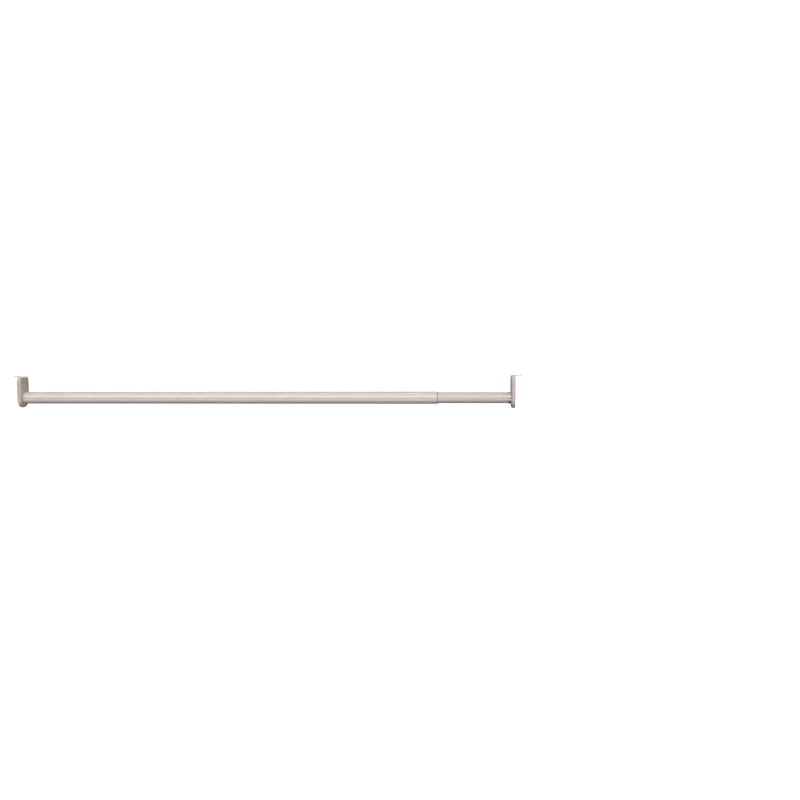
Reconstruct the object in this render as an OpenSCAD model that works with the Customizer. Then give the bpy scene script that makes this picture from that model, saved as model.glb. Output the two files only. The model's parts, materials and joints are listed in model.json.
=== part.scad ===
// Adjustable closet rod: a tube that telescopes in another, with a pressed steel
// bracket fixed across each end. The rod runs along +X from the left wall to the
// right one, +Z is up, and the origin is on the rod's axis in the left wall plane.
// Lengths are in millimetres.

/* [Rod] */
// Outside diameter of the outer tube
outer_od = 30; // [22:0.5:38]
// Wall thickness of both tubes
tube_wall = 0.8; // [0.6:0.05:1.5]
// Cut length of each tube
tube_len = 1026; // [600:1:1500]
// Length of inner tube that shows at the stored length
shown_len = 172.2; // [20:0.1:700]
// Radial space between the two tubes, filled by the plastic guides
guide_space = 0.7; // [0.5:0.05:1.2]
// Length of inner tube that stays in the outer tube at full extension
min_overlap = 237.5; // [60:1:300]

/* [Brackets] */
// Width of a bracket; its lower end is a half circle of this diameter
pan_w = 49; // [42:0.5:70]
// Height of a bracket's top edge above the rod's axis
pan_top = 54; // [45:0.5:80]
// Depth of a bracket from the wall to its front face
pan_depth = 9.5; // [7.5:0.1:16]
// Thickness of the bracket's sheet steel
sheet = 1.5; // [1:0.1:2]
// Outside radius of the bend round the front face
bend_r = 4.5; // [2.5:0.1:5.5]
// Outside radius of the two top corners
corner_r = 11; // [6:0.5:14]

/* [Cleat tabs] */
// Reach of the tab behind the wall plane, over a wooden cleat
tab_len = 17; // [10:0.5:30]
// Width of the tab
tab_w = 12; // [8:0.5:24]
// Radius of the tab's end corners
tab_r = 3; // [1:0.5:3.5]

/* [Screw holes] */
// Diameter of a screw hole
hole_d = 5; // [3.5:0.1:6]
// Distance between the two screw holes
hole_gap = 25.4; // [20:0.1:28]
// Height of the screw holes above the rod's axis
hole_z = 33; // [24:0.5:40]

/* [Tube sockets] */
// Length of the sleeve in front of the bracket
sleeve_len = 7; // [4:0.5:20]
// Thickness of the flange behind the bracket's panel
flange_t = 1.2; // [0.8:0.1:2]
// Width of the flange around the sleeve
flange_w = 2.5; // [1.5:0.1:3]

/* [Guides] */
// Length of the mouth bush inside the outer tube
bush_len = 14; // [8:0.5:40]
// Thickness of the mouth bush's rim, outside the outer tube
rim_t = 2; // [1:0.1:4]
// Width of the glide ring at the inner tube's tail
glide_w = 10; // [6:0.5:20]
// Depth of the rolled groove that holds the glide ring
groove_d = 0.6; // [0.4:0.05:0.8]
// Length of full-size tube left beyond the groove
tail_lip = 4; // [2:0.5:12]
// Width of the split in the glide ring
split_w = 3; // [1.5:0.5:6]

/* [Stop dimples] */
// Radius of the ball that presses a dimple
dimple_r = 6; // [4:0.5:9]

/* [Hidden] */
// Clearance between pieces that are pressed together
press_gap = 0.02;
// Radial clearance between pieces that slide or turn on each other
run_gap = 0.05;
// Clearance between moving pieces that must not touch
free_gap = 0.3;
// Size of a broken edge on the plastic guides and the sleeves
edge = 0.3;
// Past this length a cut is clear of the sheet that it goes through
past = 1;
$fn = 96;

outer_r = outer_od / 2;
outer_bore_r = outer_r - tube_wall;
inner_r = outer_bore_r - guide_space;
pan_r = pan_w / 2;
hole_edge_r = hole_d / 2;

// Places along the rod, from the left wall plane
outer_start = pan_depth;
outer_mouth = outer_start + tube_len;
rim_face = outer_mouth + rim_t;
right_panel = rim_face + shown_len;
span = right_panel + pan_depth;
seat_depth = pan_depth - sheet - flange_t;
inner_end = span - seat_depth;
inner_tail = inner_end - tube_len;
groove_start = inner_tail + tail_lip;
groove_w = glide_w + 2 * free_gap;

// The glide ring meets the dimples when min_overlap of tube is left inside
stop_x = outer_mouth - min_overlap + tail_lip + free_gap + glide_w + free_gap;
dimple_depth = guide_space - free_gap;
dimple_span = sqrt(pow(dimple_r + tube_wall, 2) - pow(dimple_r + tube_wall - dimple_depth, 2));
dimple_x = stop_x + dimple_span;

STEEL = [0.72, 0.69, 0.67];
SOCKET_STEEL = [0.66, 0.63, 0.61];
NYLON = [0.55, 0.53, 0.51];

// Points of an arc about a centre, from one angle to another in n steps
function arc(centre, r, from, to, n = 12) = [
    for (i = [0:n])
        let (a = from + (to - from) * i / n)
        [centre[0] + r * cos(a), centre[1] + r * sin(a)]
];

// Lays a part drawn flat against the wall: its Z becomes X and its X points down
module on_wall() {
    rotate([0, 90, 0])
        children();
}

// Turns a part made for the left wall round to face the right wall
module at_right() {
    translate([span, 0, 0])
        rotate([0, 0, 180])
            children();
}

// Turns a profile of [radius, place along the rod] about the rod's axis
module turned(points) {
    on_wall()
        rotate_extrude()
            polygon(points);
}

// A plain ring or sleeve between two places along the rod
module sleeve(from, to, r, bore_r) {
    turned([[bore_r, from], [r, from], [r, to], [bore_r, to]]);
}

// Half section of the pan: panel, bend and skirt, from a centre line out to a rim
module rim_section(reach) {
    translate([0, pan_depth - sheet])
        square([reach - bend_r, sheet]);
    translate([reach - bend_r, pan_depth - bend_r])
        intersection() {
            difference() {
                circle(bend_r);
                circle(bend_r - sheet);
            }
            square(bend_r + past);
        }
    translate([reach - sheet, 0])
        square([sheet, pan_depth - bend_r]);
}

// The pan's half round lower end, about the rod's axis
module pan_foot() {
    rotate([0, 0, -90])
        rotate_extrude(angle = 180)
            rim_section(pan_r);
}

// The pan between its round foot and its top corners
module pan_sides() {
    height = pan_top - corner_r;
    translate([-height, 0, 0])
        rotate([90, 0, 90])
            linear_extrude(height)
                union() {
                    rim_section(pan_r);
                    mirror([1, 0])
                        rim_section(pan_r);
                }
}

// The pan's top edge with its two rounded corners
module pan_head() {
    centre = [corner_r - pan_top, pan_r - corner_r];
    translate([centre[0], 0, 0])
        rotate([90, 0, 180])
            linear_extrude(2 * centre[1], center = true)
                rim_section(corner_r);
    for (side = [-1, 1])
        translate([centre[0], side * centre[1], 0])
            rotate([0, 0, side > 0 ? 90 : 180])
                rotate_extrude(angle = 90)
                    rim_section(corner_r);
}

// The tab that runs straight back from the middle of the top edge
module cleat_tab() {
    side = tab_w / 2 - tab_r;
    tip = tab_len - tab_r;
    outline = concat(
        [[0, -tab_w / 2]],
        arc([tip, -side], tab_r, -90, 0),
        arc([tip, side], tab_r, 0, 90),
        [[0, tab_w / 2]]
    );
    translate([-pan_top, 0, 0])
        rotate([0, 90, 0])
            linear_extrude(sheet)
                polygon(outline);
}

// One bracket as it stands against the left wall
module bracket() {
    on_wall()
        difference() {
            union() {
                pan_foot();
                pan_sides();
                pan_head();
                cleat_tab();
            }
            translate([0, 0, seat_depth])
                cylinder(r = outer_bore_r, h = pan_depth);
            for (side = [-1, 1])
                translate([-hole_z, side * hole_gap / 2, seat_depth])
                    cylinder(r = hole_edge_r, h = pan_depth);
        }
}

// One tube socket: a flange behind the panel, and a sleeve through it
module socket() {
    sleeve_r = outer_bore_r - press_gap;
    bore_r = inner_r + press_gap;
    back = pan_depth - sheet;
    front = pan_depth + sleeve_len;
    turned([
        [bore_r, seat_depth],
        [sleeve_r + flange_w, seat_depth],
        [sleeve_r + flange_w, back],
        [sleeve_r, back],
        [sleeve_r, front - edge],
        [sleeve_r - edge, front],
        [bore_r, front]
    ]);
}

// One dimple's ball, at an angle round the tube from straight up towards +Y
module dimple_ball(turn, r) {
    rotate([-turn, 0, 0])
        translate([dimple_x, 0, outer_bore_r - dimple_depth + tube_wall + dimple_r])
            sphere(r);
}

module outer_tube() {
    turns = [90, 180];
    color(STEEL)
        difference() {
            union() {
                sleeve(outer_start, outer_mouth, outer_r, outer_bore_r);
                intersection() {
                    sleeve(stop_x, stop_x + 2 * dimple_span, outer_r - tube_wall / 2, inner_r);
                    for (turn = turns)
                        dimple_ball(turn, dimple_r + tube_wall);
                }
            }
            for (turn = turns)
                dimple_ball(turn, dimple_r);
        }
}

// Line of the inner tube's wall, from its tail to its other end, with the rolled groove
function wall_line(r) = [
    [r, inner_tail],
    [r, groove_start - groove_d],
    [r - groove_d, groove_start],
    [r - groove_d, groove_start + groove_w],
    [r, groove_start + groove_w + groove_d],
    [r, inner_end]
];

module inner_tube() {
    inside = wall_line(inner_r - tube_wall);
    color(STEEL)
        turned(concat(wall_line(inner_r), [for (i = [len(inside) - 1:-1:0]) inside[i]]));
}

module left_bracket() {
    color(STEEL)
        bracket();
}

module right_bracket() {
    color(STEEL)
        at_right()
            bracket();
}

module left_socket() {
    color(SOCKET_STEEL)
        socket();
}

module right_socket() {
    color(SOCKET_STEEL)
        at_right()
            socket();
}

// Plastic bush in the outer tube's mouth, with a rim over the tube's cut edge
module mouth_bush() {
    bore_r = inner_r + run_gap;
    body_r = outer_bore_r - press_gap;
    color(NYLON)
        turned([
            [bore_r, outer_mouth - bush_len],
            [body_r - edge, outer_mouth - bush_len],
            [body_r, outer_mouth - bush_len + edge],
            [body_r, outer_mouth],
            [outer_r, outer_mouth],
            [outer_r, rim_face - edge],
            [outer_r - edge, rim_face],
            [bore_r, rim_face]
        ]);
}

// Split plastic ring in the inner tube's groove, which runs in the outer tube
module tail_glide() {
    from = groove_start + free_gap;
    to = from + glide_w;
    ring_r = outer_bore_r - run_gap;
    bore_r = inner_r - groove_d + run_gap;
    color(NYLON)
        difference() {
            turned([
                [bore_r, from],
                [ring_r - edge, from],
                [ring_r, from + edge],
                [ring_r, to - edge],
                [ring_r - edge, to],
                [bore_r, to]
            ]);
            translate([from - past, -split_w / 2, -outer_r])
                cube([glide_w + 2 * past, split_w, outer_r]);
        }
}

outer_tube();
inner_tube();
left_bracket();
right_bracket();
left_socket();
right_socket();
mouth_bush();
tail_glide();
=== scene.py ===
"""Looks of an adjustable closet rod: two telescoping tubes between two pressed wall brackets.

The rod runs along +X from the left wall to the right one, +Z is up and the origin is on the
rod's axis in the left wall plane. Every length is in metres, and every place comes from the
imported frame. Each piece is worked out as grids of points, closed into one surface.
"""

from __future__ import annotations

import sys
import json
import logging
import math
from dataclasses import dataclass, field
from enum import Enum
from typing import Union

import bmesh
import bpy
import numpy as np
from mathutils import Matrix, Quaternion, Vector


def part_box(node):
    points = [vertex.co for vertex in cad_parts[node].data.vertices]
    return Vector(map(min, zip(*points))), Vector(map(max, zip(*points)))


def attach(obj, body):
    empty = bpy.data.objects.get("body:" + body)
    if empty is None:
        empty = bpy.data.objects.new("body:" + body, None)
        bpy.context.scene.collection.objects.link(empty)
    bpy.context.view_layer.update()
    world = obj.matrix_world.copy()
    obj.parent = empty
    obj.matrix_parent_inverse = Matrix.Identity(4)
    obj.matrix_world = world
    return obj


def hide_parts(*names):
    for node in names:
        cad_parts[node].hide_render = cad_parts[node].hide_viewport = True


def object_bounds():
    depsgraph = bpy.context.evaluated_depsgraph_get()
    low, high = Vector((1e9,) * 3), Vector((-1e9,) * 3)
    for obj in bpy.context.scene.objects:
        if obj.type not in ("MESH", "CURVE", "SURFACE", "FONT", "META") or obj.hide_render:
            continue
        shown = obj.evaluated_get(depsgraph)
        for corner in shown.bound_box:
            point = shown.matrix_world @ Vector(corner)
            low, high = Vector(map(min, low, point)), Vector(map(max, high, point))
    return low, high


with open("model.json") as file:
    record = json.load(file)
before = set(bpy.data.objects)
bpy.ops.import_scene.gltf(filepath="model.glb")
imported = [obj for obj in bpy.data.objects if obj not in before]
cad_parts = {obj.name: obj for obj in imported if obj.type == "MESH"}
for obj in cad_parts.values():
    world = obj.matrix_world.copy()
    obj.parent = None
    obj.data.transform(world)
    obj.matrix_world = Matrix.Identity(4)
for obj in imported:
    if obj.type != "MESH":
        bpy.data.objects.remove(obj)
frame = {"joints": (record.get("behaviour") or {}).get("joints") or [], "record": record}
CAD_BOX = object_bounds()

LOG = logging.getLogger("closet_rod")
MM = 0.001
QUARTER = math.pi / 2
MERGE_DISTANCE = 1e-6
SHARP_ANGLE = math.radians(55)

# Rows or columns of a grid across one small feature
ROUND_STEPS = 6
BEND_STEPS = 10
SEAM_STEPS = 13
SHOULDER_STEPS = 15
DIMPLE_STEPS = 31
WELD_STEPS = 12

# Columns of half a bracket's cut edge: the tab's tip, its corner, its side and the root's fillet,
# and then the rim's top, its corner, its side above and below the cut, and its foot
TIP_STEPS, TURN_STEPS, SIDE_STEPS, ROOT_STEPS = 5, 8, 10, 7
RIM_STEPS = (6, 19, 7, 8, 31)

# Columns of the lines that part a bracket's panel into three cells
CUT_STEPS = 21
MIDDLE_STEPS = 10

# Rows down a skirt and over a panel's cell, as shares of the way, closer together at the ends
SKIRT_SHARES = (0.1, 0.25, 0.42, 0.6, 0.76, 0.88, 0.96)
PANEL_SHARES = (1.0, 0.985, 0.93, 0.7, 0.4, 0.15, 0.05)

Colour = tuple[float, float, float]
Number = Union[float, "Signal"]
Point = tuple[float, float, float]


class Mark(Enum):
    """What a point of a surface tells its finish."""

    EDGE = "edge"
    # Insides and backs of the sheet, which the satin coating paints darker as painted shade
    SHADED_HOLLOW = "hollow"
    WELD = "weld"
    RUB = "rub"


class Body(Enum):
    """The three bodies that move on each other."""

    OUTER = "outer"
    GLIDE = "glide"
    INNER = "inner"


class Slot(Enum):
    """The record's material slots."""

    TUBE = "tube_finish"
    BRACKET = "bracket_finish"
    SOCKET = "socket_finish"
    PLASTIC = "guide_plastic"


class Side(Enum):
    """The wall that a bracket and its socket stand against."""

    LEFT = "left"
    RIGHT = "right"


# ---------------------------------------------------------------- places from the frame


def mount(name: str) -> dict:
    """Returns the record's mount of that name."""
    return next(m for m in frame["record"]["mounts"] if m["name"] == name)


def span() -> float:
    """Returns the distance between the two wall planes."""
    return mount("right_rim_face")["pos_m"][0]


def at_side(points: np.ndarray, side: Side) -> np.ndarray:
    """Turns points of a left-hand piece half round and moves them to the right wall.

    Args:
        points: Points as they stand against the left wall, with x, y and z last.
        side: The wall that the piece belongs to.

    Returns:
        The points at their own wall: unchanged at the left, and (span - x, -y, z) at the right.
    """
    if side is Side.LEFT:
        return points
    return points * np.array([-1.0, -1.0, 1.0]) + np.array([span(), 0.0, 0.0])


def smooth(t: np.ndarray) -> np.ndarray:
    """Returns the smooth step 3t^2 - 2t^3, held between 0 and 1."""
    t = np.clip(t, 0.0, 1.0)
    return t * t * (3.0 - 2.0 * t)


# ---------------------------------------------------------------- surfaces


class Skin:
    """Gathers grids of points into one closed surface."""

    def __init__(self, name: str) -> None:
        """Starts an empty surface.

        Args:
            name: Name of the finished piece.
        """
        self.name = name
        self._points: list[np.ndarray] = []
        self._quads: list[np.ndarray] = []
        self._marks: dict[Mark, list[np.ndarray]] = {mark: [] for mark in Mark}
        self._count = 0

    def grid(
        self,
        points: np.ndarray,
        wrap_rows: bool = False,
        wrap_columns: bool = False,
        marks: dict[Mark, np.ndarray] | None = None,
    ) -> None:
        """Adds a grid whose neighbours are joined by quads.

        Args:
            points: The grid, as rows by columns by x, y, z.
            wrap_rows: Whether the last row joins the first.
            wrap_columns: Whether the last column joins the first.
            marks: What the grid's points carry, each of a shape that fits rows by columns.
        """
        rows, columns = points.shape[:2]
        index = np.arange(rows * columns).reshape(rows, columns) + self._count
        if wrap_rows:
            index = np.vstack([index, index[:1]])
        if wrap_columns:
            index = np.hstack([index, index[:, :1]])
        corners = [index[:-1, :-1], index[1:, :-1], index[1:, 1:], index[:-1, 1:]]
        self._quads.append(np.stack(corners, axis=-1).reshape(-1, 4))
        self._points.append(points.reshape(-1, 3))
        for mark in Mark:
            value = (marks or {}).get(mark, 0.0)
            self._marks[mark].append(np.broadcast_to(value, (rows, columns)).ravel())
        self._count += rows * columns

    def finish(self) -> bpy.types.Object:
        """Closes the surface: merges shared points, points its faces outwards and smooths it.

        Returns:
            The piece, in the scene and at the origin.
        """
        mesh = bpy.data.meshes.new(self.name)
        points = np.concatenate(self._points)
        mesh.from_pydata(points.tolist(), [], np.concatenate(self._quads).tolist())
        for mark, values in self._marks.items():
            layer = mesh.attributes.new(mark.value, "FLOAT", "POINT")
            layer.data.foreach_set("value", np.concatenate(values).astype(np.float32))
        shape = bmesh.new()
        shape.from_mesh(mesh)
        bmesh.ops.remove_doubles(shape, verts=shape.verts, dist=MERGE_DISTANCE)
        bmesh.ops.recalc_face_normals(shape, faces=shape.faces)
        shape.to_mesh(mesh)
        shape.free()
        mesh.polygons.foreach_set("use_smooth", np.ones(len(mesh.polygons), dtype=bool))
        mesh.set_sharp_from_angle(angle=SHARP_ANGLE)
        piece = bpy.data.objects.new(self.name, mesh)
        bpy.context.scene.collection.objects.link(piece)
        return piece


def rounded(corners: list[tuple[float, float]], radii: list[float], support: float) -> np.ndarray:
    """Rounds the corners of a closed outline.

    A corner's arc touches both of its sides. Its centre is on the line that halves the
    corner, at the radius over the sine of half the corner's angle, and its points are
    the even turns between the two radii that meet the sides.

    Args:
        corners: The outline's corners in order.
        radii: Radius at each corner.
        support: Distance past each arc of the extra point that keeps the flat beside it flat.

    Returns:
        For each corner its own run of points, as corners by points by 2.
    """
    here = np.array(corners)
    back = np.roll(here, 1, axis=0) - here
    back /= np.linalg.norm(back, axis=1, keepdims=True)
    ahead = np.roll(here, -1, axis=0) - here
    ahead /= np.linalg.norm(ahead, axis=1, keepdims=True)
    half = np.arccos(np.clip((back * ahead).sum(axis=1), -1.0, 1.0))[:, None] / 2
    radius = np.array(radii)[:, None]
    reach = radius / np.tan(half)
    middle = (back + ahead) / np.linalg.norm(back + ahead, axis=1, keepdims=True)
    centre = here + middle * radius / np.sin(half)
    turn = (math.pi - 2 * half)[:, None]
    share = np.linspace(0.0, 1.0, ROUND_STEPS + 1)[None, :, None]
    start = (here + back * reach - centre)[:, None]
    stop = (here + ahead * reach - centre)[:, None]
    swing = (np.sin((1 - share) * turn) * start + np.sin(share * turn) * stop) / np.sin(turn)
    first = (here + back * (reach + support))[:, None]
    last = (here + ahead * (reach + support))[:, None]
    return np.concatenate([first, centre[:, None] + swing, last], axis=1)


def turned(profile: np.ndarray, turns: np.ndarray) -> np.ndarray:
    """Turns a profile about the rod's axis.

    Args:
        profile: Points of place along the rod and radius; the radius may vary by column.
        turns: Angles from straight up towards +Y, in radians.

    Returns:
        The grid (x, r sin a, r cos a), one row for each profile point.
    """
    along, radius = profile[..., 0], profile[..., 1]
    along, radius, angle = np.broadcast_arrays(along[:, None], radius[:, None], turns[None, :])
    return np.stack([along, radius * np.sin(angle), radius * np.cos(angle)], axis=-1)


def full_turn(count: int) -> np.ndarray:
    """Returns that many even angles round a full turn."""
    return np.arange(count) * (2 * math.pi / count)


def dress(piece: bpy.types.Object, body: Body, node: str, finish: Finish) -> None:
    """Gives a piece its body, the CAD node that it stands for, and its finish.

    Args:
        piece: The finished piece.
        body: The body that it moves with.
        node: The CAD node that it stands for.
        finish: The finish that makes its material.
    """
    piece.data.materials.append(finish.material())
    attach(piece, body.value)
    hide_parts(node)
    size = [round(v / MM, 1) for v in piece.dimensions]
    LOG.info("%s: %d faces, %s mm, rides on %s", piece.name, len(piece.data.polygons), size, body.value)


# ---------------------------------------------------------------- shaders


class Signal:
    """A shader socket on which arithmetic is written plainly."""

    def __init__(self, shader: Shader, socket: bpy.types.NodeSocket) -> None:
        """Wraps a socket of one shader's tree."""
        self.shader = shader
        self.socket = socket

    def _work(self, operation: str, first: Number, second: Number) -> Signal:
        """Adds one Math node and returns its result."""
        return self.shader.node("ShaderNodeMath", {"operation": operation}, {0: first, 1: second})

    def __add__(self, other: Number) -> Signal:
        """Returns the sum."""
        return self._work("ADD", self, other)

    def __radd__(self, other: Number) -> Signal:
        """Returns the sum with a number on the left."""
        return self._work("ADD", other, self)

    def __sub__(self, other: Number) -> Signal:
        """Returns the difference."""
        return self._work("SUBTRACT", self, other)

    def __rsub__(self, other: Number) -> Signal:
        """Returns the difference from a number on the left."""
        return self._work("SUBTRACT", other, self)

    def __mul__(self, other: Number) -> Signal:
        """Returns the product."""
        return self._work("MULTIPLY", self, other)

    def __rmul__(self, other: Number) -> Signal:
        """Returns the product with a number on the left."""
        return self._work("MULTIPLY", other, self)


class Shader:
    """One material's node tree, built from expressions."""

    def __init__(self, name: str) -> None:
        """Starts a material with a Principled shader.

        Args:
            name: Name of the material.
        """
        self.made = bpy.data.materials.new(name)
        self.made.use_nodes = True
        self.tree = self.made.node_tree
        self.surface = self.tree.nodes["Principled BSDF"]
        self.place = self.node("ShaderNodeTexCoord", {}, {}, "Object")

    def node(
        self,
        kind: str,
        settings: dict[str, object],
        sockets: dict[int | str, object],
        output: int | str = 0,
    ) -> Signal:
        """Adds a node of any kind.

        Args:
            kind: The node's type.
            settings: Its own settings, set first.
            sockets: Values or links of its inputs, by name or place.
            output: Which output is wanted.

        Returns:
            The output, ready for arithmetic.
        """
        made = self.tree.nodes.new(kind)
        for key, value in settings.items():
            setattr(made, key, value)
        for key, value in sockets.items():
            self.feed(made.inputs[key], value)
        return Signal(self, made.outputs[output])

    def feed(self, socket: bpy.types.NodeSocket, value: object) -> None:
        """Links a signal to a socket, or sets the socket's own value."""
        if isinstance(value, Signal):
            self.tree.links.new(value.socket, socket)
        else:
            socket.default_value = value

    def set(self, **inputs: object) -> None:
        """Feeds the Principled shader's inputs, with underscores in place of spaces."""
        for key, value in inputs.items():
            self.feed(self.surface.inputs[key.replace("_", " ")], value)

    def mark(self, mark: Mark) -> Signal:
        """Returns a mark that the piece's points carry."""
        return self.node("ShaderNodeAttribute", {"attribute_name": mark.value}, {}, "Fac")

    def scaled(self, scale: Point) -> Signal:
        """Returns the object's coordinates, stretched by a scale along each axis."""
        return self.node("ShaderNodeVectorMath", {"operation": "MULTIPLY"}, {0: self.place, 1: scale})

    def noise(self, vector: Signal, scale: float, detail: float) -> Signal:
        """Returns fractal noise from 0 to 1 over a vector."""
        sockets = {"Vector": vector, "Scale": scale, "Detail": detail}
        return self.node("ShaderNodeTexNoise", {}, sockets, "Fac")

    def between(self, value: Signal, low: float, high: float) -> Signal:
        """Returns a smooth step from 0 at low to 1 at high."""
        sockets = {"Value": value, "From Min": low, "From Max": high}
        return self.node("ShaderNodeMapRange", {"interpolation_type": "SMOOTHSTEP"}, sockets)

    def blend(self, share: Number, first: Signal | Colour, second: Signal | Colour) -> Signal:
        """Returns a colour between two, by share."""
        ends = [c if isinstance(c, Signal) else (*c, 1.0) for c in (first, second)]
        sockets = {"Factor": share, 6: ends[0], 7: ends[1]}
        return self.node("ShaderNodeMix", {"data_type": "RGBA"}, sockets, 2)

    def bump(self, height: Signal, distance: float) -> Signal:
        """Returns a normal raised by a height from 0 to 1 over a distance in metres."""
        return self.node("ShaderNodeBump", {}, {"Height": height, "Distance": distance}, "Normal")

    def radius(self) -> Signal:
        """Returns the distance from the rod's axis, in metres."""
        flat = self.scaled((0.0, 1.0, 1.0))
        return self.node("ShaderNodeVectorMath", {"operation": "LENGTH"}, {0: flat}, "Value")


class Finish:
    """A finish that makes its material once and shares it between pieces."""

    name: str

    def material(self) -> bpy.types.Material:
        """Returns the finish's material, made on first use."""
        ready = bpy.data.materials.get(self.name)
        return ready if ready else self.make()

    def make(self) -> bpy.types.Material:
        """Makes the material."""
        raise NotImplementedError


@dataclass(frozen=True)
class SatinCoating(Finish):
    """A satin metallic coating on steel.

    Attributes:
        name: Name of the material.
        colour: Main tone.
        deep: Tone of the darker patches, and of the painted shade on insides and backs.
        bare: Tone of steel where an edge has worn through.
        metallic: How metallic the coating looks.
        roughness: Roughness of the coating.
        clear: Weight of the clear layer over it.
        clear_roughness: Roughness of the clear layer.
        streaks: Strength of the lengthwise drawn streaks.
        peel: Height of the coating's orange peel.
        wear: How far edges have worn through.
    """

    name: str
    colour: Colour
    deep: Colour
    bare: Colour = (0.47, 0.45, 0.43)
    metallic: float = 0.35
    roughness: float = 0.42
    clear: float = 0.35
    clear_roughness: float = 0.11
    streaks: float = 0.22
    peel: float = 0.012 * MM
    wear: float = 0.55

    def make(self) -> bpy.types.Material:
        """Makes the coating: patches, pearl grain, streaks, peel, smudges, worn edges, rubs and painted
        shade on insides and backs.
        """
        shader = Shader(self.name)
        patches = shader.noise(shader.place, 14.0, 3.0)
        grain = shader.noise(shader.place, 3200.0, 2.0)
        streaks = shader.noise(shader.scaled((3.0, 1300.0, 1300.0)), 1.0, 3.0)
        peel = shader.noise(shader.place, 620.0, 2.0)
        smudges = shader.between(shader.noise(shader.place, 38.0, 4.0), 0.5, 0.72)
        rubs = shader.between(shader.noise(shader.scaled((9.0, 1500.0, 1500.0)), 1.0, 2.0), 0.5, 0.62)
        rub = rubs * shader.mark(Mark.RUB)
        chips = shader.noise(shader.place, 900.0, 4.0) * 0.6 + shader.mark(Mark.EDGE) * self.wear
        worn = shader.between(chips, 0.62, 0.72)
        # Insides and backs of the sheet, used below for painted shade and a duller coat
        hollow = shader.mark(Mark.SHADED_HOLLOW)
        tone = shader.blend(patches * 0.3 + (grain - 0.5) * 0.9 + 0.15, self.colour, self.deep)
        tone = shader.blend((streaks - 0.5) * self.streaks + 0.1, tone, self.deep)
        # Painted shade: insides and backs are blended 35% towards the deep tone
        tone = shader.blend(hollow * 0.35, tone, self.deep)
        tone = shader.blend(rub * 0.12 + worn, tone, self.bare)
        rough = (streaks - 0.5) * (0.16 * self.streaks) + (grain - 0.5) * 0.12 + self.roughness
        rough = rough + smudges * 0.025 + hollow * 0.12 - rub * 0.08
        height = peel * 0.7 + grain * 0.12 + streaks * (0.3 * self.streaks) - worn * 0.8 - rub * 0.2
        shader.set(
            Base_Color=tone,
            Metallic=self.metallic + worn * (0.95 - self.metallic),
            Roughness=rough,
            Coat_Weight=(1.0 - worn) * (1.0 - rub * 0.5) * (1.0 - hollow * 0.7) * self.clear,
            Coat_Roughness=self.clear_roughness,
            Normal=shader.bump(height, self.peel),
        )
        return shader.made


@dataclass(frozen=True)
class PlatedSteel(Finish):
    """Plated steel with turned marks and heat tint round its weld spots.

    Attributes:
        name: Name of the material.
        colour: Main tone.
        dull: Tone of the duller patches.
        tint: Straw tone of the heat tint.
        roughness: Roughness of the plating.
        marks: Height of the turned marks.
    """

    name: str
    colour: Colour
    dull: Colour
    tint: Colour = (0.36, 0.25, 0.15)
    roughness: float = 0.36
    marks: float = 0.006 * MM

    def make(self) -> bpy.types.Material:
        """Makes the plating: the turned marks are noise over place along the rod and radius."""
        shader = Shader(self.name)
        along = shader.node("ShaderNodeSeparateXYZ", {}, {0: shader.place}, "X")
        rings = shader.node("ShaderNodeCombineXYZ", {}, {"X": along, "Y": shader.radius()})
        lines = shader.noise(rings, 5200.0, 3.0)
        patches = shader.noise(shader.place, 90.0, 4.0)
        grain = shader.noise(shader.place, 4000.0, 2.0)
        weld = shader.mark(Mark.WELD)
        worn = shader.between(shader.mark(Mark.EDGE) + grain * 0.5, 0.9, 1.2)
        tone = shader.blend(patches * 0.6 + lines * 0.3, self.colour, self.dull)
        tone = shader.blend(weld * 0.7, tone, self.tint)
        tone = shader.blend(worn * 0.4, tone, self.colour)
        shader.set(
            Base_Color=tone,
            Metallic=0.85,
            Roughness=(lines - 0.5) * 0.2 + (patches - 0.5) * 0.12 + weld * 0.15 + self.roughness,
            Normal=shader.bump(lines * 0.8 + grain * 0.2, self.marks),
        )
        return shader.made


@dataclass(frozen=True)
class MouldedNylon(Finish):
    """Matt moulded nylon with a fine spark texture and rubbed edges.

    Attributes:
        name: Name of the material.
        colour: Main tone.
        dark: Tone in the texture's hollows.
        roughness: Roughness of the moulding.
        texture: Height of the texture.
    """

    name: str
    colour: Colour
    dark: Colour
    roughness: float = 0.58
    texture: float = 0.02 * MM

    def make(self) -> bpy.types.Material:
        """Makes the nylon: spark texture, soft flow patches and polish where it rubs."""
        shader = Shader(self.name)
        spark = shader.noise(shader.place, 1900.0, 3.0)
        flow = shader.noise(shader.scaled((1.0, 2.0, 2.0)), 70.0, 3.0)
        rub = shader.between(shader.mark(Mark.RUB) + spark * 0.4, 0.6, 1.1)
        edge = shader.mark(Mark.EDGE)
        tone = shader.blend(flow * 0.5 + (spark - 0.5) * 0.7 + 0.1, self.colour, self.dark)
        tone = shader.blend(edge * 0.25, tone, self.colour)
        shader.set(
            Base_Color=tone,
            Roughness=(spark - 0.5) * 0.2 + (flow - 0.5) * 0.1 - rub * 0.22 + self.roughness,
            Normal=shader.bump(spark * (1.0 - rub * 0.7), self.texture),
        )
        return shader.made


@dataclass(frozen=True)
class StudioPaper(Finish):
    """Pale seamless paper that glows, so that it stays pale wherever the lamps stand.

    Attributes:
        name: Name of the material.
        colour: Tone of the paper.
        glow: Strength of its own light.
    """

    name: str
    colour: Colour = (0.93, 0.93, 0.925)
    glow: float = 1.0

    def make(self) -> bpy.types.Material:
        """Makes the paper, with a faint fibre."""
        shader = Shader(self.name)
        fibre = shader.noise(shader.place, 240.0, 4.0)
        shader.set(
            Base_Color=shader.blend(fibre * 0.2, self.colour, (0.9, 0.9, 0.895)),
            Roughness=0.9,
            Specular_IOR_Level=0.1,
            Emission_Color=(1.0, 1.0, 1.0, 1.0),
            Emission_Strength=self.glow,
        )
        return shader.made


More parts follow.
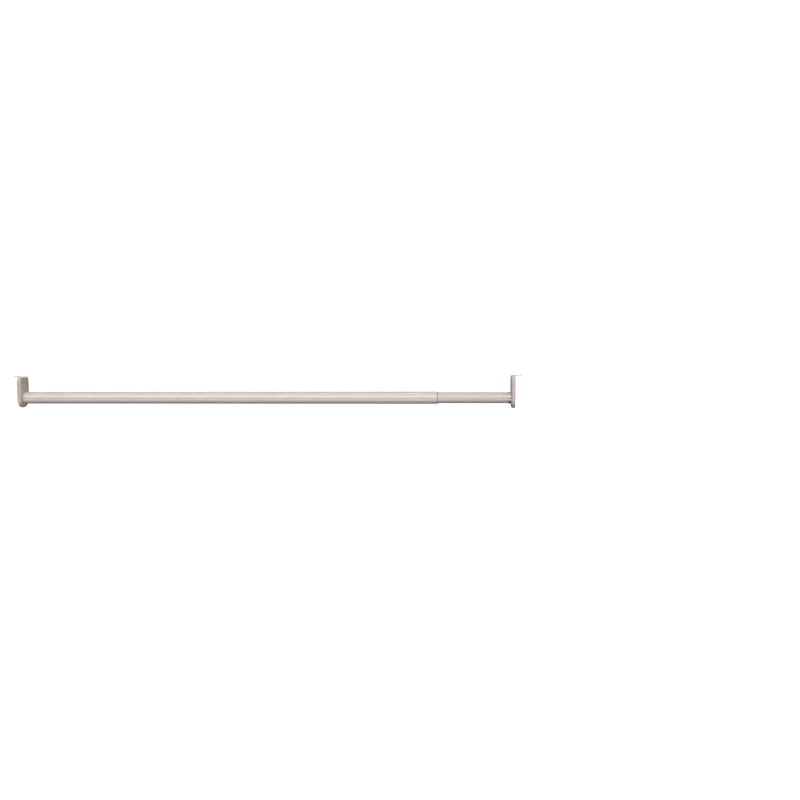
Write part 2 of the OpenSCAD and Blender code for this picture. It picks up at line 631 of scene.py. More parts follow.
TUBE_COAT = SatinCoating(
    "satin_nickel_tube",
    (0.70, 0.65, 0.625),
    (0.56, 0.512, 0.488),
    roughness=0.46,
    clear_roughness=0.09,
)
SLIDING_COAT = SatinCoating(
    "satin_nickel_sliding_tube",
    (0.66, 0.61, 0.58),
    (0.52, 0.475, 0.45),
    roughness=0.5,
    clear=0.12,
    clear_roughness=0.3,
)
PRESSED_COAT = SatinCoating(
    "satin_nickel_pressing",
    (0.64, 0.585, 0.55),
    (0.48, 0.43, 0.40),
    roughness=0.46,
    clear=0.25,
    clear_roughness=0.24,
    streaks=0.12,
    peel=0.02 * MM,
)
SOCKET_PLATE = PlatedSteel("plated_socket_steel", (0.60, 0.57, 0.55), (0.44, 0.42, 0.40))
GUIDE_NYLON = MouldedNylon("warm_grey_nylon", (0.40, 0.375, 0.36), (0.27, 0.25, 0.24))
PAPER = StudioPaper("studio_paper")


# ---------------------------------------------------------------- tubes


@dataclass
class Tube:
    """One rolled steel tube.

    Attributes:
        node: The CAD node that it stands for.
        body: The body that it moves with.
        finish: Its finish.
        wall: Thickness of its wall.
        lip: Radius of its broken cut edges.
        segments: Even columns round the tube.
        seam_turn: Where the weld seam runs, from straight up towards +Y.
        seam_width: Width of the weld seam's ridge.
        seam_height: Height of the ridge.
    """

    node: str
    body: Body
    finish: Finish
    wall: float = 0.8 * MM
    lip: float = 0.25 * MM
    segments: int = 180
    seam_turn: float = math.radians(150)
    seam_width: float = 1.6 * MM
    seam_height: float = 0.03 * MM

    def __post_init__(self) -> None:
        """Reads the tube's ends and radius from the frame."""
        low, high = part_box(self.node)
        self.start, self.end = low.x, high.x
        self.radius = high.y

    def turns(self) -> np.ndarray:
        """Returns the column angles: even ones, with finer ones across the seam."""
        half = 1.5 * self.seam_width / self.radius
        fine = np.linspace(self.seam_turn - half, self.seam_turn + half, SEAM_STEPS)
        even = full_turn(self.segments)
        away = np.abs(even - self.seam_turn) > half
        return np.sort(np.concatenate([even[away], fine]))

    def seam(self, turns: np.ndarray) -> np.ndarray:
        """Returns the ridge's height by angle: a bell curve across the seam."""
        off = (turns - self.seam_turn) * self.radius / (self.seam_width / 2)
        return self.seam_height * np.exp(-off * off)

    def stops(self) -> np.ndarray:
        """Returns the places along the tube that need rows of their own."""
        return np.array([])

    def shift(self, along: np.ndarray, turns: np.ndarray, outside: bool) -> np.ndarray:
        """Returns how far the wall stands out at each row and column.

        Args:
            along: Places along the rod, one for each row.
            turns: Column angles.
            outside: Whether this is the outer surface.

        Returns:
            The change of radius: the seam's ridge, which is 1.5 times as high inside.
        """
        ridge = self.seam(turns)[None, :] * (1.0 if outside else -1.5)
        return np.broadcast_to(ridge, (len(along), len(turns)))

    def build(self) -> bpy.types.Object:
        """Builds the tube: a rounded wall section turned round, with its surface shifted."""
        bore = self.radius - self.wall
        corners = [(self.start, self.radius), (self.end, self.radius), (self.end, bore), (self.start, bore)]
        runs = rounded(corners, [self.lip] * len(corners), 2 * self.lip)
        turns = self.turns()
        stops = self.stops()
        outer = np.stack([stops, np.full_like(stops, self.radius)], axis=-1)
        inner = np.stack([stops, np.full_like(stops, bore)], axis=-1)[::-1]
        profile = np.concatenate([runs[0], outer, runs[1], runs[2], inner, runs[3]])
        split = len(runs[0]) + len(outer) + len(runs[1])
        grid = turned(profile, turns)
        along = profile[:, 0]
        change = np.concatenate(
            [self.shift(along[:split], turns, True), self.shift(along[split:], turns, False)]
        )
        grid[..., 1] += change * np.sin(turns)
        grid[..., 2] += change * np.cos(turns)
        from_end = np.minimum(along - self.start, self.end - along)
        edge = np.clip(1.0 - from_end / (6 * self.lip), 0.0, 1.0)
        # The bore's surface, which the coating paints darker as painted shade
        hollow = (np.arange(len(profile)) >= split).astype(float)
        skin = Skin(self.node + "_skin")
        marks = {Mark.EDGE: edge[:, None], Mark.SHADED_HOLLOW: hollow[:, None], Mark.RUB: self.rub(along, turns)}
        skin.grid(grid, wrap_rows=True, wrap_columns=True, marks=marks)
        piece = skin.finish()
        dress(piece, self.body, self.node, self.finish)
        return piece

    def rub(self, along: np.ndarray, turns: np.ndarray) -> np.ndarray:
        """Returns how rubbed each row and column is."""
        return np.zeros((len(along), len(turns)))


@dataclass
class OuterTube(Tube):
    """The larger tube, with the ball-pressed dimples that stop the glide ring.

    Attributes:
        ball: Radius of the ball that presses a dimple.
        depth: Depth of a dimple.
        dimple_turns: Angles of the dimples.
        stop_gap: Distance from the glide ring's edge, at full extension, to the dimples' edge.
        soft: Softness of the join between a dimple and the wall.
        reach: Half width of the close rows and columns at a dimple, as a share of the ball.
    """

    ball: float = 6.0 * MM
    depth: float = 0.4 * MM
    dimple_turns: tuple[float, ...] = (QUARTER, math.pi)
    stop_gap: float = 0.3 * MM
    soft: float = 0.06 * MM
    reach: float = 0.6

    def dimple_place(self) -> float:
        """Returns the dimples' place: the glide's last place, the gap and half a dimple."""
        travel = frame["joints"][0]["range_m"][1]
        outside = self.ball + self.wall
        half = math.sqrt(outside**2 - (outside - self.depth) ** 2)
        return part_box("tail_glide")[1].x + travel + self.stop_gap + half

    def stops(self) -> np.ndarray:
        """Returns close rows across the dimples."""
        return self.dimple_place() + np.linspace(-1.0, 1.0, DIMPLE_STEPS) * self.reach * self.ball

    def turns(self) -> np.ndarray:
        """Returns the plain tube's angles, with finer ones across each dimple."""
        turns = super().turns()
        half = self.reach * self.ball / self.radius
        for middle in self.dimple_turns:
            fine = np.linspace(middle - half, middle + half, DIMPLE_STEPS)
            turns = np.concatenate([turns[np.abs(turns - middle) > half], fine])
        return np.sort(turns)

    def shift(self, along: np.ndarray, turns: np.ndarray, outside: bool) -> np.ndarray:
        """Returns the seam's ridge less the dimples.

        A dimple is the near side of a ball, seen from the axis: its radius there is
        c cos a - sqrt(b^2 - x^2 - c^2 sin^2 a), for a ball of radius b at c from the axis.
        It is joined to the wall by a soft minimum.
        """
        wall_radius = self.radius if outside else self.radius - self.wall
        ball = self.ball if outside else self.ball + self.wall
        centre = self.radius - self.depth + self.ball
        off = along[:, None] - self.dimple_place()
        change = super().shift(along, turns, outside).copy()
        for middle in self.dimple_turns:
            angle = np.clip(turns[None, :] - middle, -QUARTER, QUARTER)
            inside = ball**2 - off**2 - (centre * np.sin(angle)) ** 2
            near = centre * np.cos(angle) - np.sqrt(np.maximum(inside, 0.0))
            drop = np.where(inside > 0, wall_radius - near, -1.0)
            change -= self.soft * np.log1p(np.exp(np.clip(drop / self.soft, -30.0, 30.0)))
        return change


@dataclass
class InnerTube(Tube):
    """The smaller tube, with the rolled groove that holds the glide ring.

    Attributes:
        groove_depth: Depth of the groove.
        groove_room: Length of the groove's floor past the glide ring, both ends together.
        slope: Length of the groove's shoulders.
    """

    groove_depth: float = 0.6 * MM
    groove_room: float = 0.6 * MM
    slope: float = 0.9 * MM

    def groove(self) -> tuple[float, float]:
        """Returns the two ends of the groove's floor."""
        low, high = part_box("tail_glide")
        return low.x - self.groove_room / 2, high.x + self.groove_room / 2

    def stops(self) -> np.ndarray:
        """Returns close rows across both shoulders."""
        first, last = self.groove()
        across = np.linspace(-1.2, 0.2, SHOULDER_STEPS) * self.slope
        return np.concatenate([first + across, last - across[::-1]])

    def shift(self, along: np.ndarray, turns: np.ndarray, outside: bool) -> np.ndarray:
        """Returns the seam's ridge less the groove, whose shoulders are smooth steps."""
        first, last = self.groove()
        depth = smooth((along - first) / self.slope + 1) * smooth((last - along) / self.slope + 1)
        plain = super().shift(along, turns, outside)
        return plain - self.groove_depth * depth[:, None]

    def rub(self, along: np.ndarray, turns: np.ndarray) -> np.ndarray:
        """Returns rubs along the top, the underside and both sides: cos^2 2a at angle a."""
        line = np.cos(2 * turns) ** 2
        return np.broadcast_to(line, (len(along), len(turns)))


# ---------------------------------------------------------------- plastic guides


@dataclass
class MouthBush:
    """The plastic bush in the outer tube's mouth, with a rim over the tube's cut edge.

    Attributes:
        press_gap: Clearance in the outer tube.
        run_gap: Clearance round the inner tube.
        rounds: Radii of its section's corners, from the tail end of its bore outwards and round.
        segments: Columns round it.
    """

    press_gap: float = 0.02 * MM
    run_gap: float = 0.05 * MM
    rounds: tuple[float, ...] = (0.15 * MM, 0.2 * MM, 0.05 * MM, 0.15 * MM, 0.35 * MM, 0.15 * MM)
    segments: int = 160

    def build(self, outer: Tube, inner: Tube) -> bpy.types.Object:
        """Builds the bush between the two tubes.

        Args:
            outer: The tube that it is pressed in.
            inner: The tube that runs in it.

        Returns:
            The bush.
        """
        low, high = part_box("mouth_bush")
        bore = inner.radius + self.run_gap
        body = outer.radius - outer.wall - self.press_gap
        corners = [
            (low.x, bore),
            (low.x, body),
            (outer.end, body),
            (outer.end, high.y),
            (high.x, high.y),
            (high.x, bore),
        ]
        profile = np.concatenate(rounded(corners, list(self.rounds), 0.06 * MM))
        near_rim = np.clip((profile[:, 0] - outer.end) / (high.x - outer.end), 0.0, 1.0)
        in_bore = (profile[:, 1] < bore + 0.2 * MM).astype(float)
        skin = Skin("mouth_bush_skin")
        marks = {Mark.EDGE: (near_rim**3)[:, None], Mark.RUB: in_bore[:, None]}
        grid = turned(profile, full_turn(self.segments))
        skin.grid(grid, wrap_rows=True, wrap_columns=True, marks=marks)
        piece = skin.finish()
        dress(piece, Body.OUTER, "mouth_bush", GUIDE_NYLON)
        return piece


@dataclass
class TailGlide:
    """The split plastic ring in the inner tube's groove.

    Attributes:
        bore_gap: Clearance between the ring and the groove's floor.
        split: Width of the split, at the bottom.
        soft: Radius of its edges.
        segments: Columns round it.
    """

    bore_gap: float = 0.05 * MM
    split: float = 3.0 * MM
    soft: float = 0.3 * MM
    segments: int = 150

    def build(self, inner: InnerTube) -> bpy.types.Object:
        """Builds the ring: a rounded section carried from one side of the split to the other.

        Args:
            inner: The tube whose groove holds it.

        Returns:
            The ring.
        """
        low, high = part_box("tail_glide")
        bore = inner.radius - inner.groove_depth + self.bore_gap
        corners = [(low.x, bore), (low.x, high.y), (high.x, high.y), (high.x, bore)]
        profile = np.concatenate(rounded(corners, [0.12 * MM, self.soft, self.soft, 0.12 * MM], 0.1 * MM))
        middle = np.array([(low.x + high.x) / 2, (bore + high.y) / 2])
        half = np.array([(high.x - low.x) / 2, (high.y - bore) / 2])
        open_turn = self.split / (bore + high.y)
        reach = math.pi - open_turn
        fall = np.linspace(0.0, QUARTER, ROUND_STEPS)
        back = self.soft * (1 - np.sin(fall)) / bore
        inset = self.soft * (1 - np.cos(fall))
        plain = np.linspace(-reach + 4 * back[0], reach - 4 * back[0], self.segments)
        turns = np.concatenate([-reach + back[::-1], plain, reach - back])
        insets = np.concatenate([inset[::-1], np.zeros(self.segments), inset])
        inset_scale = 1.0 - insets[None, :, None] / half
        section = middle + (profile - middle)[:, None] * inset_scale
        along, radius = section[..., 0], section[..., 1]
        grid = np.stack([along, radius * np.sin(turns), radius * np.cos(turns)], axis=-1)
        skin = Skin("tail_glide_skin")
        outside = (profile[:, 1] > high.y - 0.1 * MM).astype(float)
        skin.grid(grid, wrap_rows=True, marks={Mark.RUB: outside[:, None]})
        for column in (0, -1):
            rim = grid[:, column]
            centre = np.broadcast_to(rim.mean(axis=0), rim.shape)
            skin.grid(np.stack([rim, centre]), wrap_columns=True)
        piece = skin.finish()
        dress(piece, Body.GLIDE, "tail_glide", GUIDE_NYLON)
        return piece


# ---------------------------------------------------------------- sockets


@dataclass
class Socket:
    """A short socket through a bracket's panel, with a flange welded behind it.

    Attributes:
        side: The wall that it belongs to.
        body: The body that it moves with.
        sheet: Thickness of the bracket's panel.
        press_gap: Clearance between pressed pieces.
        welds: Number of weld spots on the flange.
        spot: Radius of a weld spot.
        spot_depth: Depth of a weld spot.
        rounds: Radii of its section's corners, from the wall end of its bore outwards and round.
        segments: Columns round it.
    """

    side: Side
    body: Body
    sheet: float = 1.5 * MM
    press_gap: float = 0.02 * MM
    welds: int = 4
    spot: float = 1.1 * MM
    spot_depth: float = 0.3 * MM
    rounds: tuple[float, ...] = (0.2 * MM, 0.3 * MM, 0.15 * MM, 0.05 * MM, 0.3 * MM, 0.1 * MM)
    segments: int = 192

    def build(self, outer: Tube, inner: Tube, panel_depth: float) -> bpy.types.Object:
        """Builds the socket.

        Args:
            outer: The tube whose bore sets the sleeve's radius.
            inner: The tube whose outside sets the socket's bore.
            panel_depth: Distance from the wall to the panel's front.

        Returns:
            The socket.
        """
        node = self.side.value + "_socket"
        low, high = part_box("left_socket")
        bore = inner.radius + self.press_gap
        sleeve = outer.radius - outer.wall - self.press_gap
        back = panel_depth - self.sheet
        corners = [
            (low.x, bore),
            (low.x, high.y),
            (back, high.y),
            (back, sleeve),
            (high.x, sleeve),
            (high.x, bore),
        ]
        runs = rounded(corners, list(self.rounds), 0.08 * MM)
        face = np.linspace(bore + 0.35 * MM, high.y - 0.45 * MM, WELD_STEPS)
        face = np.stack([np.full_like(face, low.x), face], axis=-1)
        profile = np.concatenate([runs[0], face, *runs[1:]])
        turns = full_turn(self.segments)
        grid = turned(profile, turns)
        on_face = np.abs(profile[:, 0] - low.x) < 0.1 * MM
        pitch = 2 * math.pi / self.welds
        ring = (bore + high.y) / 2
        off_turn = (turns + pitch / 2) % pitch - pitch / 2
        off = np.hypot(profile[:, 1][:, None] - ring, off_turn[None, :] * ring)
        spots = np.exp(-((off / self.spot) ** 2)) * on_face[:, None]
        grid[..., 0] += self.spot_depth * spots
        tint = np.exp(-((off / (1.8 * self.spot)) ** 2)) * (profile[:, 0] < back)[:, None]
        lips = np.exp(-np.abs(profile[:, 0] - high.x) / (0.3 * MM))
        marks = {Mark.WELD: tint, Mark.EDGE: lips[:, None]}
        skin = Skin(node + "_skin")
        skin.grid(at_side(grid, self.side), wrap_rows=True, wrap_columns=True, marks=marks)
        piece = skin.finish()
        dress(piece, self.body, node, SOCKET_PLATE)
        return piece


# ---------------------------------------------------------------- brackets


@dataclass(frozen=True)
class TabShape:
    """The tab that runs straight back from the top of a pan.

    Attributes:
        length: Reach behind the wall plane.
        width: Width of the tab.
        tip_radius: Radius of its end corners.
        root_radius: Radius of the fillets at its root.
    """

    length: float
    width: float = 12.0 * MM
    tip_radius: float = 3.0 * MM
    root_radius: float = 2.0 * MM


@dataclass(frozen=True)
class EdgeLine:
    """Columns of a pan: where each leaves the bend, and where it meets the cut edge.

    Attributes:
        bend: Distance along the outline at the bend, from the middle of the top.
        path: Distance along the outline at the cut edge.
        x: Distance of the cut edge from the wall plane.
        inward: Direction from the edge into the sheet, along the outline and along x.
    """

    bend: np.ndarray
    path: np.ndarray
    x: np.ndarray
    inward: np.ndarray


@dataclass
class Bracket:
    """A pressed steel pan: a flat panel, a bend all round, a skirt and a cleat tab.

    Attributes:
        side: The wall that it stands against.
        body: The body that it moves with.
        corner_radius: Radius of the two top corners.
        bend_radius: Outside radius of the bend.
        sheet: Thickness of the steel.
        lip: Radius of the cut edges.
        cut_height: Height of the line that parts the panel's lower cell from its upper ones.
    """

    side: Side
    body: Body
    corner_radius: float = 11.0 * MM
    bend_radius: float = 4.5 * MM
    sheet: float = 1.5 * MM
    lip: float = 0.3 * MM
    cut_height: float = 22.5 * MM
    tab: TabShape = field(init=False)

    def __post_init__(self) -> None:
        """Reads the pan's size from the frame and works out where its arcs meet."""
        low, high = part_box("left_bracket")
        self.radius, self.top, self.depth = high.y, high.z, high.x
        self.tab = TabShape(length=-low.x)
        self.corner_y = self.radius - self.corner_radius
        self.corner_z = self.top - self.corner_radius
        corner = self.corner_y + self.corner_radius * QUARTER
        side = corner + self.corner_z
        self.ends = (self.corner_y, corner, side, side + self.radius * QUARTER)

    def place(self, path: np.ndarray, x: np.ndarray, inset: np.ndarray) -> np.ndarray:
        """Puts points of the sheet in space.

        From the middle of the top, each side of the outline is half the top edge, the
        corner's arc, a straight side and the foot's quarter circle, laid end to end. A
        point at a distance along it stands in from it by the inset.

        Args:
            path: Distance along the outline, negative on the -Y side.
            x: Distance from the wall plane.
            inset: Distance in from the outline.

        Returns:
            Points, with x, y and z last.
        """
        path, x, inset = np.broadcast_arrays(path, x, inset)
        way = np.abs(path)
        head, corner, side, _ = self.ends
        over = (way - head) / self.corner_radius
        under = QUARTER + (way - side) / self.radius
        where = [way <= head, way <= corner, way <= side]
        y = np.select(
            where,
            [way, self.corner_y + np.sin(over) * (self.corner_radius - inset), self.radius - inset],
            np.sin(under) * (self.radius - inset),
        )
        z = np.select(
            where,
            [
                self.top - inset,
                self.corner_z + np.cos(over) * (self.corner_radius - inset),
                self.corner_z - (way - corner),
            ],
            np.cos(under) * (self.radius - inset),
        )
        return np.stack([x, np.sign(path) * y, z], axis=-1)

    def edge_line(self) -> EdgeLine:
        """Returns the columns, from the tab's tip round the rim and back.

        On each side the cut edge runs along the tab's tip, round its corner, along its
        side, round the root's fillet and then along the rim to the foot.
        """
        tab = self.tab
        half = tab.width / 2
        tip = np.linspace(0.0, half - tab.tip_radius, TIP_STEPS)[:-1]
        turn = np.linspace(0.0, QUARTER, TURN_STEPS)
        side = np.linspace(tab.tip_radius - tab.length, -tab.root_radius, SIDE_STEPS)[1:-1]
        root = np.linspace(0.0, QUARTER, ROOT_STEPS)
        head, corner, straight, foot = self.ends
        cut = straight - self.cut_height
        root_end = half + tab.root_radius
        stops = (root_end, head, corner, cut, straight, foot)
        legs = zip(stops[:-1], stops[1:], RIM_STEPS)
        rim = np.concatenate([np.linspace(first, last, steps)[1:] for first, last, steps in legs])
        path = np.concatenate(
            [
                tip,
                half - tab.tip_radius * (1 - np.sin(turn)),
                np.full_like(side, half),
                root_end - tab.root_radius * np.cos(root),
                rim,
            ]
        )
        x = np.concatenate(
            [
                np.full_like(tip, -tab.length),
                tab.tip_radius * (1 - np.cos(turn)) - tab.length,
                side,
                tab.root_radius * (np.sin(root) - 1),
                np.zeros_like(rim),
            ]
        )
        lean = np.concatenate(
            [np.zeros_like(tip), turn, np.full_like(side, QUARTER), QUARTER - root, np.zeros_like(rim)]
        )
        bend = np.concatenate([np.linspace(0.0, root_end, len(path) - len(rim)), rim])
        inward = np.stack([-np.sin(lean), np.cos(lean)], axis=-1)
        mirror = np.array([-1.0, 1.0])
        return EdgeLine(
            np.concatenate([bend, -bend[-2:0:-1]]),
            np.concatenate([path, -path[-2:0:-1]]),
            np.concatenate([x, x[-2:0:-1]]),
            np.concatenate([inward, inward[-2:0:-1] * mirror]),
        )

    def skirt(self, skin: Skin, line: EdgeLine) -> np.ndarray:
        """Adds the bend, the skirt with its tab, and the rounded cut edge, outside and inside.

        Args:
            skin: The surface that it belongs to.
            line: The columns.

        Returns:
            The panel's boundary where the bend meets it, as columns by y, z.
        """
        bend_x = self.depth - self.bend_radius
        outer_bend, inner_bend = self.bend_radius, self.bend_radius - self.sheet
        sweep = np.linspace(QUARTER, 0.0, BEND_STEPS)[:, None]
        inset = outer_bend * (1 - np.cos(sweep))
        outer_rows = self.place(line.bend, bend_x + outer_bend * np.sin(sweep), inset)
        sweep = sweep[::-1]
        inset = outer_bend - inner_bend * np.cos(sweep)
        inner_rows = self.place(line.bend, bend_x + inner_bend * np.sin(sweep), inset)
        share = np.array(SKIRT_SHARES)[:, None]
        stop_path = line.path + self.lip * line.inward[:, 0]
        stop_x = line.x + self.lip * line.inward[:, 1]
        path = line.bend + share * (stop_path - line.bend)
        x = bend_x + share * (stop_x - bend_x)
        fall = np.linspace(0.0, QUARTER, ROUND_STEPS)
        reach = self.lip * (1 - np.sin(fall))
        drop = self.lip * (1 - np.cos(fall))
        reach = np.concatenate([reach, reach[::-1]])[:, None]
        drop = np.concatenate([drop, self.sheet - drop[::-1]])[:, None]
        lip_path = line.path + reach * line.inward[:, 0]
        lip_x = line.x + reach * line.inward[:, 1]
        rows = [
            outer_rows,
            self.place(path, x, 0.0),
            self.place(lip_path, lip_x, drop),
            self.place(path[::-1], x[::-1], self.sheet),
            inner_rows,
        ]
        counts = [len(r) for r in rows]
        near = np.zeros(len(share))
        near[-2:] = (0.35, 0.7)
        plain = np.zeros(BEND_STEPS)
        edge = np.concatenate([plain, near, np.ones(counts[2]), near[::-1], plain])
        # The lip and the inside of the skirt and bend, which the coating paints darker as painted shade
        hollow = np.repeat([0.0, 0.0, 0.5, 1.0, 1.0], counts)
        marks = {Mark.EDGE: edge[:, None], Mark.SHADED_HOLLOW: hollow[:, None]}
        skin.grid(at_side(np.concatenate(rows), self.side), wrap_columns=True, marks=marks)
        return outer_rows[0, :, 1:]

    def cell(self, skin: Skin, loop: np.ndarray, centre: tuple[float, float], radius: float) -> None:
        """Adds one cell of the panel, front and back, with the hole in it.

        Each column runs straight from a boundary point towards the hole's centre, over
        the hole's rounded lip and back out behind the panel.

        Args:
            skin: The surface that it belongs to.
            loop: The cell's closed boundary, as points by y, z.
            centre: The hole's centre in y, z.
            radius: The hole's radius.
        """
        away = loop - np.array(centre)
        reach = np.linalg.norm(away, axis=1)
        way = away / reach[:, None]
        fall = np.linspace(0.0, QUARTER, ROUND_STEPS)
        lip_reach = radius + self.lip * (1 - np.sin(fall))
        lip_drop = self.lip * (1 - np.cos(fall))
        lip_x = np.concatenate([self.depth - lip_drop, self.depth - self.sheet + lip_drop[::-1]])
        lip_reach = np.concatenate([lip_reach, lip_reach[::-1]])
        share = np.array(PANEL_SHARES)[:, None]
        start = radius + self.lip
        field_reach = start + share * (reach - start)
        lips = np.broadcast_to(lip_reach[:, None], (len(lip_reach), len(loop)))
        distance = np.concatenate([field_reach, lips, field_reach[::-1]])
        front = np.full(len(share), self.depth)
        x = np.concatenate([front, lip_x, front - self.sheet])
        spots = np.array(centre) + distance[..., None] * way
        grid = np.concatenate([np.broadcast_to(x[:, None, None], (*distance.shape, 1)), spots], axis=-1)
        flat = np.zeros(len(share))
        edge = np.concatenate([flat, np.full(len(lip_x), 0.9), flat])
        # The hole's lip and the panel's back, which the coating paints darker as painted shade
        hollow = np.concatenate([flat, np.linspace(0.0, 1.0, len(lip_x)), flat + 1.0])
        marks = {Mark.EDGE: edge[:, None], Mark.SHADED_HOLLOW: hollow[:, None]}
        skin.grid(at_side(grid, self.side), wrap_columns=True, marks=marks)

    def panel(self, skin: Skin, rim: np.ndarray, socket_radius: float) -> None:
        """Adds the panel as three cells: one round the socket and one round each screw.

        Args:
            skin: The surface that it belongs to.
            rim: The panel's boundary, from the middle of the top round by +Y.
            socket_radius: Radius of the socket's hole.
        """
        screws = mount("left_screws")
        screw_z = screws["pos_m"][2]
        screw_y = screws["dims"]["spacing_x_mm"] * MM / 2
        screw_radius = screws["dims"]["hole_r_mm"] * MM
        half = len(rim) // 2
        cut = int(np.argmin(np.abs(rim[:half, 1] - self.cut_height) + (rim[:half, 0] < 0)))
        across = np.linspace(1.0, -1.0, CUT_STEPS)[:, None] * np.array([rim[cut, 0], 0.0])
        across[:, 1] = rim[cut, 1]
        lower = np.concatenate([rim[cut : len(rim) - cut], across[::-1][:-1]])
        self.cell(skin, lower, (0.0, 0.0), socket_radius)
        middle = across[: len(across) // 2 + 1]
        up = np.linspace(middle[-1], rim[0], MIDDLE_STEPS)[1:-1]
        upper = np.concatenate([rim[:cut], middle, up])
        for way in (1.0, -1.0):
            self.cell(skin, upper * np.array([way, 1.0]), (way * screw_y, screw_z), screw_radius)

    def build(self, socket_radius: float) -> bpy.types.Object:
        """Builds the bracket.

        Args:
            socket_radius: Radius of the hole for the socket.

        Returns:
            The bracket.
        """
        node = self.side.value + "_bracket"
        skin = Skin(node + "_skin")
        rim = self.skirt(skin, self.edge_line())
        self.panel(skin, rim, socket_radius)
        piece = skin.finish()
        dress(piece, self.body, node, PRESSED_COAT)
        return piece


# ---------------------------------------------------------------- studio


@dataclass(frozen=True)
class Lamp:
    """One soft rectangular lamp.

    Attributes:
        name: Name of the lamp.
        place: Where it stands.
        aim: The point that it faces.
        width: Width of its face.
        height: Height of its face.
        power: Its power in watts.
        colour: Colour of its light.
        roll: Turn of its face about the line that it faces along.
    """

    name: str
    place: Point
    aim: Point
    width: float
    height: float
    power: float
    colour: Colour = (1.0, 1.0, 1.0)
    roll: float = 0.0

    def build(self) -> None:
        """Adds the lamp to the scene."""
        light = bpy.data.lights.new(self.name, "AREA")
        light.shape = "RECTANGLE"
        light.size, light.size_y = self.width, self.height
        light.energy = self.power
        light.color = self.colour
        lamp = bpy.data.objects.new(self.name, light)
        lamp.location = self.place
        away = Vector(self.aim) - Vector(self.place)
        turn = away.to_track_quat("-Z", "Y") @ Quaternion((0.0, 0.0, 1.0), self.roll)
        lamp.rotation_euler = turn.to_euler()
        lamp.visible_camera = False
        bpy.context.scene.collection.objects.link(lamp)


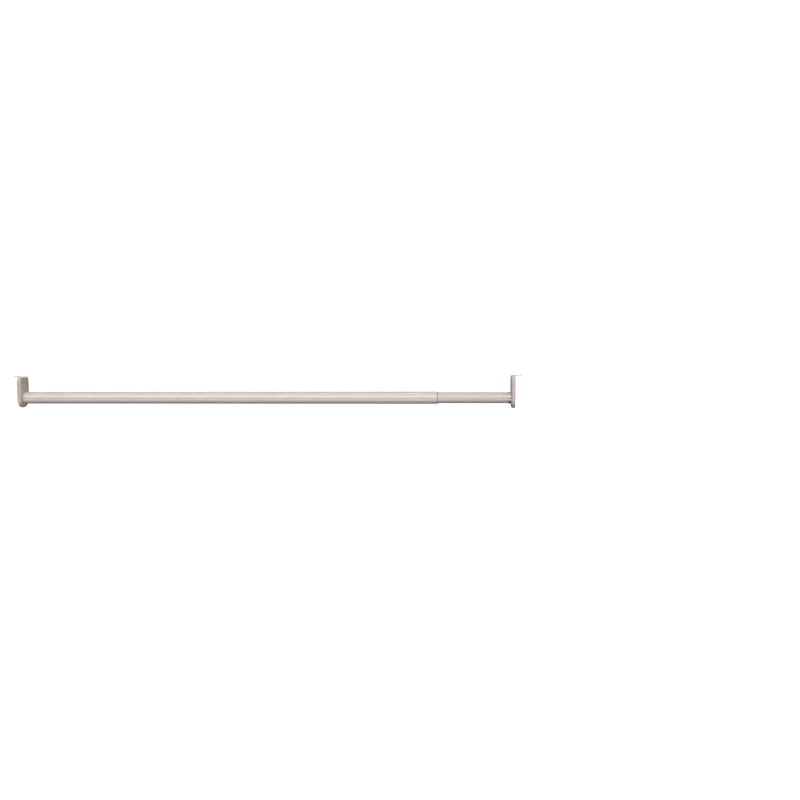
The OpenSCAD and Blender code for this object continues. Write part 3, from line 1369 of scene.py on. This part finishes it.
@dataclass
class Studio:
    """The round paper cove, the lamps, the dim surroundings and the camera.

    The key and the strip light the rod from the front above it, and the fill from the front
    below it. The back and overhead lamps draw its upper edge, and a card past each end lights
    the brackets' flat faces.

    Attributes:
        floor_drop: Depth of the floor below the rod's axis.
        cove_radius: Radius of the cove's upright wall.
        sweep_radius: Radius of the two sweeps, from floor to wall and from wall to roof.
        roof_height: Height of the roof above the floor.
        sweep_rows: Rows over one sweep.
        cove_columns: Columns round the cove.
        elevation: The camera's height angle above the rod.
        yaw: The camera's turn to the left of straight on.
        distance: Distance from the rod's axis to the camera.
        station: The camera's place along the rod.
        lens: Focal length in millimetres on a 36 mm sensor.
        shift: The lens's shift, as shares of the picture's width.
        bright_way: Direction in which the surroundings are brightest.
        bright: Their brightest tone.
        dim: Their dimmest tone.
        lamps: The lamps.
    """

    floor_drop: float = 1.9
    cove_radius: float = 8.0
    sweep_radius: float = 2.5
    roof_height: float = 9.0
    sweep_rows: int = 17
    cove_columns: int = 96
    elevation: float = math.radians(4.0)
    yaw: float = math.radians(5.66)
    distance: float = 2.25
    station: float = 1.073
    lens: float = 42.2
    shift: tuple[float, float] = (0.05, -0.003)
    bright_way: Point = (0.0, -0.6, 0.8)
    bright: Colour = (0.115, 0.1, 0.09)
    dim: Colour = (0.055, 0.042, 0.036)
    lamps: tuple[Lamp, ...] = (
        Lamp("key", (0.6, -2.27, 1.26), (0.6, 0.0, 0.0), 5.5, 1.4, 59.0, (0.985, 1.0, 1.01)),
        Lamp("fill", (0.6, -2.1, -1.54), (0.6, 0.0, 0.0), 5.5, 1.2, 40.0, (1.0, 0.96, 0.915)),
        Lamp("overhead", (0.6, -0.2, 2.6), (0.6, 0.0, 0.0), 5.5, 0.8, 38.0),
        Lamp("strip", (0.0, -2.3, 0.85), (0.6, 0.0, 0.0), 5.5, 0.1, 9.0, roll=math.radians(-14.8)),
        Lamp("left_card", (-2.6, -0.9, 0.1), (1.2, 0.0, 0.0), 0.9, 2.0, 6.0, (1.0, 0.93, 0.88)),
        Lamp("right_card", (3.5, -0.6, 0.2), (0.0, 0.0, 0.0), 0.9, 2.0, 16.0, (1.0, 0.95, 0.9)),
        Lamp("back", (0.6, 2.4, 1.3), (0.6, 0.0, 0.0), 5.5, 1.2, 50.0),
    )

    def paper(self) -> None:
        """Lays the paper: a floor, a quarter-round sweep, a wall, a second sweep and a roof.

        The section is turned about the upright line through the rod's middle, so that every
        side of the rod is seen against the same paper. Only the camera sees it, so that it
        neither lights the rod nor comes between the rod and a lamp.
        """
        turn = np.linspace(0.0, QUARTER, self.sweep_rows)
        inner = self.cove_radius - self.sweep_radius
        sweep = self.sweep_radius
        low = self.roof_height - sweep
        radius = [[0.0], inner + sweep * np.sin(turn), inner + sweep * np.cos(turn), [0.0]]
        height = [[0.0], sweep * (1 - np.cos(turn)), low + sweep * np.sin(turn), [self.roof_height]]
        radius = np.concatenate(radius)[:, None]
        height = np.concatenate(height)[:, None] - self.floor_drop
        around = full_turn(self.cove_columns)[None, :]
        middle = (CAD_BOX[0][0] + CAD_BOX[1][0]) / 2
        parts = np.broadcast_arrays(middle + radius * np.cos(around), radius * np.sin(around), height)
        skin = Skin("paper")
        skin.grid(np.stack(parts, axis=-1), wrap_columns=True)
        sheet = skin.finish()
        sheet.data.materials.append(PAPER.material())
        sheet.visible_diffuse = False
        sheet.visible_glossy = False
        sheet.visible_shadow = False

    def surroundings(self) -> None:
        """Sets dim, warm surroundings: brightest above and in front, darkest below and behind."""
        world = bpy.data.worlds.new("studio_room")
        world.use_nodes = True
        bpy.context.scene.world = world
        tree = world.node_tree
        coords = tree.nodes.new("ShaderNodeTexCoord")
        lean = tree.nodes.new("ShaderNodeVectorMath")
        lean.operation = "DOT_PRODUCT"
        lean.inputs[1].default_value = self.bright_way
        spread = tree.nodes.new("ShaderNodeMapRange")
        spread.inputs["From Min"].default_value = -1.0
        ramp = tree.nodes.new("ShaderNodeValToRGB")
        ramp.color_ramp.elements[0].color = (*self.dim, 1.0)
        ramp.color_ramp.elements[1].color = (*self.bright, 1.0)
        tree.links.new(coords.outputs["Generated"], lean.inputs[0])
        tree.links.new(lean.outputs["Value"], spread.inputs["Value"])
        tree.links.new(spread.outputs[0], ramp.inputs[0])
        tree.links.new(ramp.outputs[0], tree.nodes["Background"].inputs["Color"])

    def camera(self) -> None:
        """Sets up the camera: just above the rod, aimed at its axis and turned to the left."""
        place = Vector((
            self.station,
            -self.distance * math.cos(self.elevation),
            self.distance * math.sin(self.elevation),
        ))
        aim = Vector((self.station - self.distance * math.tan(self.yaw), 0.0, 0.0))
        ahead = (aim - place).normalized()
        up = Vector((1.0, 0.0, 0.0)).cross(ahead).normalized()
        right = ahead.cross(up)
        data = bpy.data.cameras.new("camera")
        data.lens = self.lens
        data.sensor_width = 36.0
        data.shift_x, data.shift_y = self.shift
        camera = bpy.data.objects.new("camera", data)
        pose = Matrix((right, up, -ahead)).transposed().to_4x4()
        pose.translation = place
        camera.matrix_world = pose
        bpy.context.scene.collection.objects.link(camera)
        bpy.context.scene.camera = camera

    def build(self) -> None:
        """Builds the whole studio."""
        bpy.context.scene.view_settings.view_transform = "Standard"
        self.camera()
        self.paper()
        self.surroundings()
        for lamp in self.lamps:
            lamp.build()
        LOG.info("studio: %d lamps", len(self.lamps))


def main() -> None:
    """Builds the studio and every piece."""
    logging.basicConfig(level=logging.INFO, format="%(message)s", stream=sys.stdout)
    Studio().build()
    outer = OuterTube("outer_tube", Body.OUTER, TUBE_COAT)
    inner = InnerTube("inner_tube", Body.INNER, SLIDING_COAT)
    left = Bracket(Side.LEFT, Body.OUTER)
    right = Bracket(Side.RIGHT, Body.INNER)
    outer.build()
    inner.build()
    for bracket in (left, right):
        bracket.build(outer.radius - outer.wall)
        Socket(bracket.side, bracket.body).build(outer, inner, bracket.depth)
    MouthBush().build(outer, inner)
    TailGlide().build(inner)


if __name__ == "__main__":
    main()
